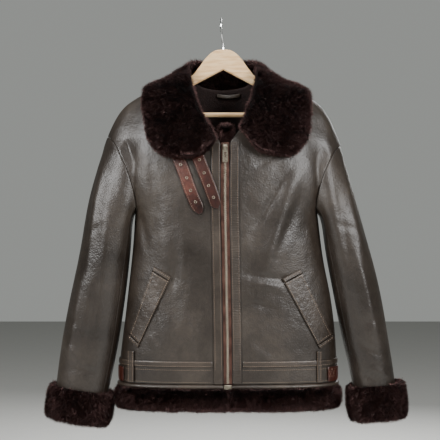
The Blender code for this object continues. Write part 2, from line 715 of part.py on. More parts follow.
def pockets(parent, items):
    for side in (LEFT, RIGHT):
        name = SIDE_NAME[side]
        corners = [(side * x, z) for x, z in WELT[side]]
        trees = [tree_of(items[f"front_{name}"])]
        length = math.dist(corners[0], corners[3])
        cap = CAP / length
        body = between(corners, 10, 6, cap * 1.03, 1 - cap * 1.03)
        overlay(f"pocket_welt_{name}", drape(trees, body), 1.5, 3.2, parent)
        for end, low, high in (("upper", 0.0, cap), ("lower", 1 - cap, 1.0)):
            overlay(f"pocket_cap_{end}_{name}", drape(trees, between(corners, 3, 6, low, high)), 1.5, 4.0, parent)


def strip_points(edge_line, near, far, columns):
    # A flat grid beside a line of (x, z) points, between two distances from it
    across = np.linspace(near, far, columns)
    return np.stack([np.stack([line_x + across, np.full(columns, z)], axis=-1) for line_x, z in edge_line])


def centre_front(parent, items):
    heights = np.linspace(FRONT_NECK_Z - 2, BAND_BOTTOM + 0.6, 20)
    middle = follow(CENTRE_FRONT, heights)
    line = list(zip(middle, heights))
    for side, width in ((LEFT, 21.0), (RIGHT, 20.5)):
        name = SIDE_NAME[side]
        trees = [tree_of(items[f"front_{name}"]), tree_of(items[f"band_{name}"])]
        flat = strip_points(line, side * (ZIP_HALF + 1.2), side * (ZIP_HALF + width), 3)
        overlay(f"front_strip_{name}", drape(trees, flat), LAY, LEATHER, parent)
        tape = strip_points(line, side * 0.25, side * (ZIP_HALF - 0.4), 2)
        face_y = follow_front(tape) + 3.2
        outer = np.stack([tape[..., 0], face_y, tape[..., 1]], axis=-1)
        wall(f"zip_tape_{name}", outer, outer + (0, 1.4, 0), parent, TAPE_ROSE, 0.9, edges=())
    chain_heights = np.linspace(-297, -789, 22)
    rings = []
    for z in chain_heights:
        x = float(follow(CENTRE_FRONT, z))
        y = float(follow_front(np.array([x, z])))
        rings.append([(x - 2.9, y + 2.8, z), (x - 2.9, y + 0.8, z), (x - 1.6, y + 0.2, z),
                      (x + 1.6, y + 0.2, z), (x + 2.9, y + 0.8, z), (x + 2.9, y + 2.8, z)])
    loft("zip_chain", rings, parent, NICKEL, 0.35, metallic=0.9)


def follow_front(flat):
    # Depth of the front at the zip, where the body is nearly flat
    x, z = flat[..., 0], flat[..., 1]
    points = np.stack([x, body_y(np.abs(x), z, LEFT, FRONT), z], axis=-1)
    return fold(points)[..., 1]


def box(low, high):
    # A bmesh block between two corners
    bm = bmesh.new()
    bmesh.ops.create_cube(bm, size=1.0)
    low, high = Vector(low), Vector(high)
    bmesh.ops.scale(bm, vec=(high - low) * MM, verts=bm.verts)
    bmesh.ops.translate(bm, vec=(low + high) / 2 * MM, verts=bm.verts)
    return bm


def soften(bm, width):
    bmesh.ops.bevel(bm, geom=bm.edges[:], offset=width * MM, segments=1, profile=0.5, affect="EDGES", material=-1)


def combine(item, other, operation):
    # A boolean whose tool stays in the file as a guide
    other.hide_render = True
    other.display_type = "WIRE"
    change = item.modifiers.new(operation.lower(), "BOOLEAN")
    change.operation = operation
    change.object = other


def rod(name, start, end, radius, parent, sides=12, colour=NICKEL, metallic=0.9, roughness=0.35):
    start, end = Vector(start), Vector(end)
    bm = bmesh.new()
    bmesh.ops.create_cone(bm, cap_ends=True, segments=sides, radius1=radius * MM, radius2=radius * MM,
                          depth=(end - start).length * MM)
    turn = Vector((0, 0, 1)).rotation_difference(end - start).to_matrix()
    bmesh.ops.rotate(bm, matrix=turn, verts=bm.verts)
    bmesh.ops.translate(bm, vec=(start + end) / 2 * MM, verts=bm.verts)
    return place(name, bm, parent, colour, roughness, metallic)


def zip_ends(parent):
    # Slider, its pull tab on a pin, and the box at the bottom
    x = float(follow(CENTRE_FRONT, SLIDER_Z))
    y = float(follow_front(np.array([x, SLIDER_Z])))
    pin = Vector((x, y - 8.0, SLIDER_Z + 3.0))
    bm = box((x - 5.6, y - 4.6, SLIDER_Z - 9), (x + 5.6, y + 1.8, SLIDER_Z + 8))
    soften(bm, 1.2)
    slider = place("zip_slider", bm, parent, NICKEL, 0.35, 0.9)
    for shift in (-4.3, 4.3):
        bm = box((pin.x + shift - 0.8, pin.y - 2.3, pin.z - 2.2), (pin.x + shift + 0.8, y - 3.0, pin.z + 2.4))
        combine(slider, place("ear", bm, parent, NICKEL, 0.35, 0.9), "UNION")
    combine(slider, rod("pin", pin - Vector((4.3, 0, 0)), pin + Vector((4.3, 0, 0)), 1.1, parent), "UNION")
    swing = bpy.data.objects.new("pull_axis", None)
    bpy.context.collection.objects.link(swing)
    swing.parent = parent
    swing.location = pin * MM
    bm = bmesh.new()
    bmesh.ops.create_cone(bm, cap_ends=True, segments=16, radius1=2.9 * MM, radius2=2.9 * MM, depth=5.8 * MM)
    bmesh.ops.rotate(bm, matrix=Vector((0, 0, 1)).rotation_difference(Vector((1, 0, 0))).to_matrix(), verts=bm.verts)
    pull = place("zip_pull", bm, swing, NICKEL, 0.4, 0.9)
    neck = box((-2.4, -0.7, -10.0), (2.4, 0.7, -2.0))
    combine(pull, place("pull_neck", neck, swing, NICKEL, 0.4, 0.9), "UNION")
    plate = box((-6.0, -0.95, -34), (6.0, 0.95, -8))
    soften(plate, 0.5)
    combine(pull, place("pull_plate", plate, swing, NICKEL, 0.4, 0.9), "UNION")
    slot = box((-2.2, -3, -25), (2.2, 3, -13))
    combine(pull, place("pull_slot", slot, swing, NICKEL, 0.4, 0.9), "DIFFERENCE")
    combine(pull, rod("pull_bore", (-5, 0, 0), (5, 0, 0), 1.5, swing), "DIFFERENCE")
    z = -795.6
    x = float(follow(CENTRE_FRONT, z))
    y = float(follow_front(np.array([x, z])))
    bm = box((x - 8.4, y - 1.2, z - 4.8), (x + 8.4, y + 4.0, z + 4.6))
    soften(bm, 0.8)
    place("zip_box", bm, parent, NICKEL, 0.35, 0.9)


def side_trim(parent, items):
    # The upright bindings under the pockets and the tabs round the sides of the band
    for side, low, high in ((LEFT, 190, 203), (RIGHT, 200, 210)):
        name = SIDE_NAME[side]
        trees = [tree_of(items[key]) for key in (f"front_{name}", f"band_{name}")]
        flat = strip_points([(0, z) for z in np.linspace(-721, -789, 9)], side * low, side * high, 3)
        overlay(f"side_binding_{name}", drape(trees, flat), 3.2, 2.2, parent)
        rows = []
        for face, reach in ((FRONT, 214 if side == LEFT else 224), (BACK, 196)):
            row = level_row(side, face, -772, reach)
            rows.append((row, outwards(row)))
        row = np.concatenate([rows[0][0][::-1], rows[1][0][1:]])
        away = np.concatenate([rows[0][1][::-1], rows[1][1][1:]])
        tab = rounded(0.8, 3.2, -788, -757, 1.0)
        rings = [[p + n * out + (0, 0, up + 772) for out, up in tab] for p, n in zip(row, away)]
        loft(f"side_strap_{name}", rings, parent, STRAP_BROWN, 0.5)


def strap(name, line, gap, trees, parent):
    # A leather strap with a pointed end, lying on the front
    spine = curve_through(line, 17)
    along = unit(np.gradient(spine, axis=0))
    square = np.stack([along[:, 1], -along[:, 0]], axis=-1)
    t = np.linspace(0, 1, 17)
    taper = np.where(t > 0.84, np.sqrt(np.clip(1 - ((t - 0.84) / 0.165) ** 2, 0.02, 1)), 1.0)
    across = np.linspace(-0.5, 0.5, 5)
    flat = spine[:, None] + square[:, None] * (across[None, :, None] * STRAP_WIDTH * taper[:, None, None])
    landed = drape(trees, flat)
    overlay(name, landed, gap, 3.0, parent, STRAP_BROWN, 0.45)


def surface_point(side, reach, drop):
    # A point of the body's outer surface by its distance from the centre and its signed drop
    z = float(follow(SHOULDER[side], reach)) - abs(drop)
    face = BACK if drop > 0 else FRONT
    y = float(body_y(np.array(reach), np.array(z), side, face))
    return fold(np.array([side * reach, y, z]))


def surface_normal(side, reach, drop):
    # Outward direction of the body's surface, from small steps along it
    step = 3.0
    across = surface_point(side, reach + step, drop) - surface_point(side, max(reach - step, 0), drop)
    behind = surface_point(side, reach, drop + step) - surface_point(side, reach, drop - step)
    return unit(np.cross(across, behind) * side)


def collar_station(side, row):
    # One closed section of the collar: up the inside, over the roll, down the leaf and back under it
    neck_x, neck_drop, roll_x, roll_y, roll_z, edge_x, edge_drop, leaf, lift, bulge = row

    def leaf_point(share, height):
        reach = neck_x + (edge_x - neck_x) * share
        sink = bulge * math.sin(math.pi * share ** 0.5)
        drop = neck_drop + (edge_drop - neck_drop) * share - sink
        near = max(1.6, 0.5 * lift)
        rest = near + (lift - near) * min(1.0, share / 0.2) + RIDGE_LIFT * math.exp(-(drop / 28) ** 2)
        return surface_point(side, reach, drop) + surface_normal(side, reach, drop) * (rest + height * leaf)

    neck = leaf_point(0.03, 0.0)
    roll = np.array([side * roll_x, roll_y, roll_z])
    rise = unit(roll - neck)
    leafwards = leaf_point(0.2, 0.0) - neck
    leafwards = unit(leafwards - rise * (leafwards @ rise))
    points = [neck - leafwards * 1.0, neck + (roll - neck) * 0.45 - leafwards * 7.0]
    points.append(roll - rise * 8.0 - leafwards * 7.0)
    points.append(roll)
    points.append(roll - rise * 4.0 + leafwards * 13.0)
    shares = [(0.28, 1.05), (0.52, 1.0), (0.78, 0.98), (0.95, 0.78), (1.0, 0.40), (0.94, 0.0), (0.64, 0.0), (0.32, 0.0)]
    points += [leaf_point(share, height) for share, height in shares]
    return points


def collar(parent):
    stations = []
    for side in (LEFT, RIGHT):
        rest = [(*row[:5], row[5] * COLLAR_REACH[side], *row[6:]) for row in COLLAR_REST]
        table = [(i, *row) for i, row in enumerate(COLLAR_END[side] + rest)]
        half = []
        for at in np.linspace(0, len(table) - 1, (len(table) - 1) * COLLAR_STEPS + 1):
            row = [float(follow(table, at, column)) for column in range(1, 11)]
            half.append(np.array(collar_station(side, row)))
        end = half[0].mean(axis=0)
        half.insert(0, end + (half[0] - end) * 0.72 + (half[0] - half[1]) * 0.12)
        stations.append(half)
    rings = np.array(stations[0] + stations[1][-2::-1])
    for _ in range(SMOOTHINGS):
        rings[2:-2, TOP_POINTS] = (rings[1:-3, TOP_POINTS] + 2 * rings[2:-2, TOP_POINTS] + rings[3:-1, TOP_POINTS]) / 4
    loft("collar", rings, parent, PILE_BROWN, 0.95)


def neck_fur(parent):
    # The top of the wind flap behind the zip
    # columns: height, how far behind the front's surface, thickness, half width, middle x
    table = [
        (-236, 10, 10, 8, 6), (-239, 0, 20, 14, 6), (-247, -6, 27, 16, 6), (-257, -5, 27, 12, 6),
        (-265, 3, 20, 11, 6), (-272, 9.4, 12, 15, 5), (-300, 9.6, 11, 17, 4), (-330, 9.8, 10, 17, 4),
    ]
    rings = []
    for z, behind, thick, half, middle in table:
        front = float(follow_front(np.array([float(middle), z]))) + behind
        ring = []
        for k in range(12):
            angle = math.radians(30 * k + 15)
            bend = math.copysign(abs(math.cos(angle)) ** 0.7, math.cos(angle))
            ring.append((middle + half * bend, front + thick / 2 * (1 + math.sin(angle)), z))
        rings.append(ring)
    loft("neck_fur", rings, parent, PILE_BROWN, 0.95)


def hanging_loop(parent, items):
    tree = tree_of(items["back"])
    rings = []
    for k, x in enumerate(np.linspace(-14, 37, 11)):
        hit = tree.ray_cast(Vector((x * MM, 0, -0.159)), Vector((0, 1, 0)))[0]
        arch = 5.0 * math.sin(math.pi * k / 10) ** 0.6
        y = hit.y / MM - 1.2 - arch
        sag = 3.0 * math.sin(math.pi * k / 10)
        rings.append([(x, y - 2, -158.5 - sag), (x, y, -158.5 - sag), (x, y, -166 - sag), (x, y - 2, -166 - sag)])
    loft("hanging_loop", rings, parent, LEATHER_BROWN, 0.5)


def hanger(parent):
    # Shaped board, bar between its two lugs, and a wire hook
    top = [(0, -65), (14, -66.3), (27, -73), (40, -86), (52, -103), (66, -120.5)]
    outline = [(x, z) for x, z in curve_through(top, 12)]
    outline += [(80, -129.2), (140, -159.9), (185, -183.5), (197, -192), (203, -201), (206, -211), (206, -219)]
    outline += [(203, -222.5), (188, -222.5), (183, -219), (183, -201.5), (174.5, -201.2), (150, -188.5)]
    outline += [(70, -146.8), (0, -110)]
    whole = outline + [(-x, z) for x, z in outline[-2:0:-1]]
    bm = bmesh.new()
    face = bm.faces.new([bm.verts.new((x * MM, -BOARD_HALF * MM, z * MM)) for x, z in whole])
    grown = bmesh.ops.extrude_face_region(bm, geom=[face])
    moved = [item for item in grown["geom"] if isinstance(item, bmesh.types.BMVert)]
    bmesh.ops.translate(bm, vec=(0, 2 * BOARD_HALF * MM, 0), verts=moved)
    rims = [edge for edge in bm.edges if abs(edge.verts[0].co.y - edge.verts[1].co.y) < 1e-6]
    bmesh.ops.bevel(bm, geom=rims, offset=2.4 * MM, segments=1, profile=0.5, affect="EDGES", material=-1)
    board = place("hanger_wood", bm, parent, BEECH, 0.5)
    combine(board, rod("hook_hole", (0, 0, -78), (0, 0, -50), WIRE_RADIUS + 0.5, parent), "DIFFERENCE")
    rod("hanger_bar", (-BAR_HALF, 0, BAR_Z), (BAR_HALF, 0, BAR_Z), BAR_RADIUS, parent, 16, BEECH, 0.0, 0.5)
    route = [(5.0, 0, -76), (5.0, 0, -60), (4.2, -1.0, -52), (2.8, -6.0, -43), (1.4, -11.5, -33), (0.5, -15.0, -22)]
    for k in range(15):
        angle = math.radians(188 - 16 * k)
        centre_z = -CROOK_RADIUS + WIRE_RADIUS
        route.append((0, CROOK_RADIUS * math.cos(angle), centre_z + CROOK_RADIUS * math.sin(angle)))
    route = np.array(route, float)
    ahead = unit(np.gradient(route, axis=0))
    across = unit(np.array([1.0, 0, 0]) - ahead * ahead[:, :1])
    beside = np.cross(ahead, across)
    around = np.radians(np.arange(0, 360, 360 / WIRE_SIDES))
    rings = [p + WIRE_RADIUS * (np.outer(np.cos(around), a) + np.outer(np.sin(around), b))
             for p, a, b in zip(route, across, beside)]
    loft("hanger_hook", rings, None, CHROME, 0.2, metallic=1.0)


def main():
    clear_scene()
    garment = bpy.data.objects.new("garment", None)
    bpy.context.collection.objects.link(garment)
    sleeves = body_panels(garment)
    for side in (LEFT, RIGHT):
        cuff(side, sleeves[side], garment)
    hem(garment)
    bpy.context.view_layer.update()
    items = bpy.data.objects
    pockets(garment, items)
    centre_front(garment, items)
    zip_ends(garment)
    side_trim(garment, items)
    trees = [tree_of(items["front_left"])]
    strap("collar_strap_outer", STRAP_OUTER, 1.0, trees, garment)
    strap("collar_strap_inner", STRAP_INNER, 4.3, trees, garment)
    collar(garment)
    neck_fur(garment)
    hanging_loop(garment, items)
    hanger(garment)
    garment.location = (GARMENT_X * MM, 0, 0)


main()
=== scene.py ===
# Dressing for the sheepskin flying jacket: leather, pile, stitching, zip, hanger, light and camera
import math

import bmesh
import bpy
import numpy as np
from mathutils import Matrix, Vector, noise
from mathutils.bvhtree import BVHTree


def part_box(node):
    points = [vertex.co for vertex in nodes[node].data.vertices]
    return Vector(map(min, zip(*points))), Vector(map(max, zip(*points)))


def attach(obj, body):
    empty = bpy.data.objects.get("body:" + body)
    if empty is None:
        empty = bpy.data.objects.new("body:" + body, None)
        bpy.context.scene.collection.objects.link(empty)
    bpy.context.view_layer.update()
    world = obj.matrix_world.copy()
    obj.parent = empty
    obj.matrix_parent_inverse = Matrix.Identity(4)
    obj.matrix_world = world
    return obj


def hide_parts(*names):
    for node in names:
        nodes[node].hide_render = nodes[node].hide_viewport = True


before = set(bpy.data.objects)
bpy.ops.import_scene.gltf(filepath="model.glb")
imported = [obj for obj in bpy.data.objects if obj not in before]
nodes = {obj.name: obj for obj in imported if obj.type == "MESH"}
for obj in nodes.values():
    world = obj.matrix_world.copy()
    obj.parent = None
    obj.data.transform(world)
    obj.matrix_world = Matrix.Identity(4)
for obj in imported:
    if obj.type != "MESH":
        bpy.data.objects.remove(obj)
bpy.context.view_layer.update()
mm = 0.001
front, back = -1, 1
print("frame loaded")


def linearColour(hexValue):
    channels = [int(hexValue[i:i + 2], 16) / 255 for i in (0, 2, 4)]
    return (*[c / 12.92 if c <= 0.04045 else ((c + 0.055) / 1.055) ** 2.4 for c in channels], 1)


def addNode(tree, kind, settings=None, values=None, links=None, stops=()):
    # one node with its settings, socket values, incoming links and colour stops (place, hex colour)
    node = tree.nodes.new(kind)
    for key, value in (settings or {}).items():
        setattr(node, key, value)
    for key, value in (values or {}).items():
        node.inputs[key].default_value = value
    for key, source in (links or {}).items():
        tree.links.new(source, node.inputs[key])
    for number, (place, colour) in enumerate(stops):
        elements = node.color_ramp.elements
        element = elements[number] if number < len(elements) else elements.new(place)
        element.position = place
        element.color = linearColour(colour)
    return node


def startMaterial(name, look):
    material = bpy.data.materials.new(name)
    material.use_nodes = True
    tree = material.node_tree
    shader = tree.nodes["Principled BSDF"]
    for key, value in look.items():
        shader.inputs[key].default_value = value
    place = addNode(tree, "ShaderNodeTexCoord").outputs["Object"]
    return material, tree, shader, place


# Waxed sheepskin leather: drum dyed, semi gloss, pebbled, a little paler where it is rubbed
def makeLeather(name, dark, mid, worn, roughness):
    material, tree, shader, place = startMaterial(name, {"IOR": 1.48, "Specular IOR Level": 0.55})
    cloud = addNode(tree, "ShaderNodeTexNoise", values={"Scale": 9.0, "Detail": 4.0, "Roughness": 0.6},
                    links={"Vector": place})  # patches about 110 mm across
    fleck = addNode(tree, "ShaderNodeTexNoise", values={"Scale": 140.0, "Detail": 3.0}, links={"Vector": place})
    both = addNode(tree, "ShaderNodeMath", {"operation": "MULTIPLY_ADD"}, {1: 0.35, 2: -0.17},
                   {0: fleck.outputs["Fac"]})
    mixed = addNode(tree, "ShaderNodeMath", {"operation": "ADD"}, links={0: cloud.outputs["Fac"], 1: both.outputs[0]})
    tree.links.new(addNode(tree, "ShaderNodeValToRGB", links={"Fac": mixed.outputs[0]},
                           stops=[(0.3, dark), (0.52, mid), (0.74, worn)]).outputs["Color"], shader.inputs["Base Color"])
    gloss = addNode(tree, "ShaderNodeMapRange", values={"From Min": 0.3, "From Max": 0.7, "To Min": roughness - 0.06,
                    "To Max": roughness + 0.1}, links={"Value": cloud.outputs["Fac"]})
    tree.links.new(gloss.outputs["Result"], shader.inputs["Roughness"])
    pebble = addNode(tree, "ShaderNodeTexVoronoi", {"feature": "SMOOTH_F1"}, {"Scale": 330.0},
                     {"Vector": place})  # real grain is 1 mm; drawn at 3 mm so that it shows
    rumple = addNode(tree, "ShaderNodeTexNoise", values={"Scale": 60.0, "Detail": 5.0, "Roughness": 0.62},
                     links={"Vector": place})  # 16 mm softness of a heavy skin
    grain = addNode(tree, "ShaderNodeBump", values={"Strength": 0.4, "Distance": 0.0009},
                    links={"Height": pebble.outputs["Distance"]})
    soft = addNode(tree, "ShaderNodeBump", values={"Strength": 0.5, "Distance": 0.0019},
                   links={"Height": rumple.outputs["Fac"], "Normal": grain.outputs["Normal"]})
    tree.links.new(soft.outputs["Normal"], shader.inputs["Normal"])
    return material


# Sheepskin pile: matt, dense wool about 12 mm long; the tips catch the light, and on the locks the colour ramp paints
# shade at the roots and light on the tips
def makePile(name, dark, mid, tip, fromAttribute):
    material, tree, shader, place = startMaterial(name, {"Roughness": 0.78, "Specular IOR Level": 0.25,
                                                         "Sheen Weight": 0.7, "Sheen Roughness": 0.35})
    shader.inputs["Sheen Tint"].default_value = linearColour(tip)
    clump = addNode(tree, "ShaderNodeTexNoise", values={"Scale": 75.0, "Detail": 4.0, "Roughness": 0.6},
                    links={"Vector": place})  # locks about 13 mm across
    height = clump.outputs["Fac"]
    if fromAttribute:
        # the ramp follows each lock from root to tip: painted shade at the roots, painted light on the tips
        shade = addNode(tree, "ShaderNodeAttribute", {"attribute_name": "lockToneAndPaintedLight"})
        both = addNode(tree, "ShaderNodeMath", {"operation": "MULTIPLY_ADD"}, {1: 0.35}, {0: height, 2: shade.outputs["Fac"]})
        height = both.outputs[0]
    tree.links.new(addNode(tree, "ShaderNodeValToRGB", links={"Fac": height},
                           stops=[(0.25, dark), (0.6, mid), (1.0, tip)]).outputs["Color"], shader.inputs["Base Color"])
    if not fromAttribute:
        curl = addNode(tree, "ShaderNodeTexNoise", values={"Scale": 380.0, "Detail": 3.0}, links={"Vector": place})
        bump = addNode(tree, "ShaderNodeBump", values={"Strength": 0.9, "Distance": 0.004},
                       links={"Height": curl.outputs["Fac"]})
        tree.links.new(bump.outputs["Normal"], shader.inputs["Normal"])
    return material


# Cotton zip tape: woven twill, dusty rose
def makeTape():
    material, tree, shader, place = startMaterial("cottonTwillTape", {"Roughness": 0.9, "Specular IOR Level": 0.2})
    twill = addNode(tree, "ShaderNodeTexWave", {"wave_type": "BANDS", "bands_direction": "DIAGONAL"},
                    {"Scale": 240.0, "Distortion": 1.5}, {"Vector": place})  # 1.3 mm ribs
    grime = addNode(tree, "ShaderNodeTexNoise", values={"Scale": 55.0, "Detail": 4.0}, links={"Vector": place})
    tree.links.new(addNode(tree, "ShaderNodeValToRGB", links={"Fac": grime.outputs["Fac"]},
                           stops=[(0.3, "38241f"), (0.7, "61453c")]).outputs["Color"], shader.inputs["Base Color"])
    bump = addNode(tree, "ShaderNodeBump", values={"Strength": 0.5, "Distance": 0.0006}, links={"Height": twill.outputs["Fac"]})
    tree.links.new(bump.outputs["Normal"], shader.inputs["Normal"])
    return material


# Antique nickel: cast and tumbled, darkened in the hollows
def makeNickel():
    material, tree, shader, place = startMaterial("antiqueNickel", {"Metallic": 1.0})
    tarnish = addNode(tree, "ShaderNodeTexNoise", values={"Scale": 420.0, "Detail": 4.0}, links={"Vector": place})
    tree.links.new(addNode(tree, "ShaderNodeValToRGB", links={"Fac": tarnish.outputs["Fac"]},
                           stops=[(0.3, "6f675b"), (0.7, "b3aa99")]).outputs["Color"], shader.inputs["Base Color"])
    rough = addNode(tree, "ShaderNodeMapRange", values={"To Min": 0.28, "To Max": 0.5}, links={"Value": tarnish.outputs["Fac"]})
    tree.links.new(rough.outputs["Result"], shader.inputs["Roughness"])
    return material


# Beech: planed, lacquered, long straight grain with short dark flecks
def makeBeech():
    material, tree, shader, place = startMaterial("lacqueredBeech", {"Roughness": 0.42, "Coat Weight": 0.25, "Coat Roughness": 0.3})
    stretched = addNode(tree, "ShaderNodeMapping", values={"Scale": (0.12, 1.0, 1.0)}, links={"Vector": place})
    grain = addNode(tree, "ShaderNodeTexNoise", values={"Scale": 170.0, "Detail": 5.0, "Roughness": 0.6},
                    links={"Vector": stretched.outputs["Vector"]})  # 6 mm bands along the board
    tree.links.new(addNode(tree, "ShaderNodeValToRGB", links={"Fac": grain.outputs["Fac"]},
                           stops=[(0.25, "b98e5c"), (0.5, "d9b384"), (0.75, "ecd2a6")]).outputs["Color"],
                   shader.inputs["Base Color"])
    bump = addNode(tree, "ShaderNodeBump", values={"Strength": 0.15, "Distance": 0.0004}, links={"Height": grain.outputs["Fac"]})
    tree.links.new(bump.outputs["Normal"], shader.inputs["Normal"])
    return material


# Chromed steel wire, with fine drawing marks
def makeChrome():
    material, tree, shader, place = startMaterial("chromedWire", {"Metallic": 1.0, "Base Color": linearColour("cfd0d0")})
    marks = addNode(tree, "ShaderNodeTexNoise", values={"Scale": 600.0, "Detail": 2.0}, links={"Vector": place})
    rough = addNode(tree, "ShaderNodeMapRange", values={"To Min": 0.08, "To Max": 0.22}, links={"Value": marks.outputs["Fac"]})
    tree.links.new(rough.outputs["Result"], shader.inputs["Roughness"])
    return material


# Waxed linen thread: twisted, slightly shiny
def makeThread():
    material, tree, shader, place = startMaterial("waxedThread", {"Roughness": 0.6})
    twist = addNode(tree, "ShaderNodeTexNoise", values={"Scale": 900.0}, links={"Vector": place})
    tree.links.new(addNode(tree, "ShaderNodeValToRGB", links={"Fac": twist.outputs["Fac"]},
                           stops=[(0.35, "705a4a"), (0.65, "a38e79")]).outputs["Color"], shader.inputs["Base Color"])
    return material


leather = makeLeather("waxedSheepskinLeather", "1e1813", "29221c", "352d25", 0.4)
trimLeather = makeLeather("rolledLeatherTrim", "211a15", "2f2720", "40362d", 0.38)
strapLeather = makeLeather("bridleLeather", "1d0c09", "38170f", "5c3024", 0.36)
# the pile's base under the locks is near black, painted shade deep in the wool; the locks run from painted shade at the
# roots to painted light on the tips
pileRootShade = makePile("sheepskinPileRootsPaintedShade", "080505", "120a0a", "1e1312", False)
pileLocks = makePile("sheepskinPileLocks", "0d0807", "261817", "7d5c59", True)
lining = makePile("sheepskinLining", "130c0b", "241816", "382824", False)
tape, nickel, beech, chrome, thread = makeTape(), makeNickel(), makeBeech(), makeChrome(), makeThread()
print("materials made")


def cadCopy(name):
    # merged copy of a CAD node's triangles, joined back into four-sided faces
    bm = bmesh.new()
    bm.from_mesh(nodes[name].data)
    bmesh.ops.remove_doubles(bm, verts=bm.verts, dist=0.00001)
    bmesh.ops.join_triangles(bm, faces=bm.faces, angle_face_threshold=math.radians(40),
                             angle_shape_threshold=math.radians(70))
    return bm


def newPiece(name, bm, material, body="jacket"):
    mesh = bpy.data.meshes.new(name)
    bm.to_mesh(mesh)
    bm.free()
    for layer in [item for item in mesh.attributes if item.name in ("custom_normal", "sharp_edge", "sharp_face")]:
        mesh.attributes.remove(layer)
    mesh.shade_smooth()
    piece = bpy.data.objects.new(name, mesh)
    bpy.context.collection.objects.link(piece)
    piece.data.materials.append(material)
    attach(piece, body)
    return piece


def smoothPiece(name, node, material, levels, crease=0.5):
    # subdivided copy of a node; its sharp edges stay crisp enough to read as turned leather
    bm = cadCopy(node)
    layer = bm.edges.layers.float.new("crease_edge")
    for edge in bm.edges:
        if edge.calc_face_angle(0) > math.radians(48):
            edge[layer] = crease
    piece = newPiece(name, bm, material)
    change = piece.modifiers.new("round", "SUBSURF")
    change.levels = change.render_levels = levels
    dense = bpy.data.meshes.new_from_object(piece.evaluated_get(bpy.context.evaluated_depsgraph_get()))
    piece.modifiers.clear()
    piece.data = dense
    piece.data.name = name
    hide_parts(node)
    return piece


def readPoints(piece):
    count = len(piece.data.vertices)
    points, normals = np.empty(count * 3), np.empty(count * 3)
    piece.data.vertices.foreach_get("co", points)
    piece.data.vertices.foreach_get("normal", normals)
    return points.reshape(-1, 3), normals.reshape(-1, 3)


def writePoints(piece, points):
    piece.data.vertices.foreach_set("co", points.ravel())
    piece.data.update()


def softNoise(points, size, seed, octaves=2):
    # smooth noise between -1 and 1 with lumps of a size in millimetres
    scale = 1 / (size * mm)
    shift = Vector((seed * 13.7, seed * 7.1, seed * 3.3))
    return np.array([noise.fractal(Vector(p) * scale + shift, 0.9, 2.0, octaves) for p in points])


def nearLine(points, x0, z0, x1, z1):
    # distance in millimetres from a line seen from the front, and the place along it
    here = points[:, [0, 2]] / mm - (x0, z0)
    run = np.array([x1 - x0, z1 - z0], float)
    along = here @ run / (run @ run)
    held = np.clip(along, 0, 1)
    return np.linalg.norm(here - held[:, None] * run, axis=1), held


def treeOf(piece):
    bm = bmesh.new()
    bm.from_mesh(piece.data)
    tree = BVHTree.FromBMesh(bm)
    bm.free()
    return tree


def layOn(trees, x, z, face=front):
    # point and outward direction on what lies nearest the viewer at (x, z) in millimetres
    best = None
    for tree in trees:
        hit, normal, _, _ = tree.ray_cast(Vector((x * mm, face * 0.4, z * mm)), Vector((0, -face, 0)))
        if hit and (best is None or hit.y * face > best[0].y * face):
            best = (hit, normal)
    return best


def repeatShape(name, bm, places, material, body="jacket"):
    # one small shape set at many places; each place is a 4 x 4 matrix
    shape = bpy.data.meshes.new("shape")
    bm.to_mesh(shape)
    bm.free()
    points = np.array([vertex.co for vertex in shape.vertices])
    faces = [tuple(face.vertices) for face in shape.polygons]
    bpy.data.meshes.remove(shape)
    matrices = np.array(places)
    allPoints = np.einsum("nij,pj->npi", matrices[:, :3, :3], points) + matrices[:, None, :3, 3]
    allFaces = [tuple(i + k * len(points) for i in face) for k in range(len(places)) for face in faces]
    mesh = bpy.data.meshes.new(name)
    mesh.from_pydata(allPoints.reshape(-1, 3).tolist(), [], allFaces)
    mesh.shade_smooth()
    piece = bpy.data.objects.new(name, mesh)
    bpy.context.collection.objects.link(piece)
    mesh.materials.append(material)
    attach(piece, body)
    return piece


def frameAt(point, along, normal):
    # matrix whose X runs along a seam and whose Z leaves the surface
    along = (along - normal * along.dot(normal)).normalized()
    across = normal.cross(along)
    matrix = Matrix((along, across, normal)).transposed().to_4x4()
    matrix.translation = point
    return matrix


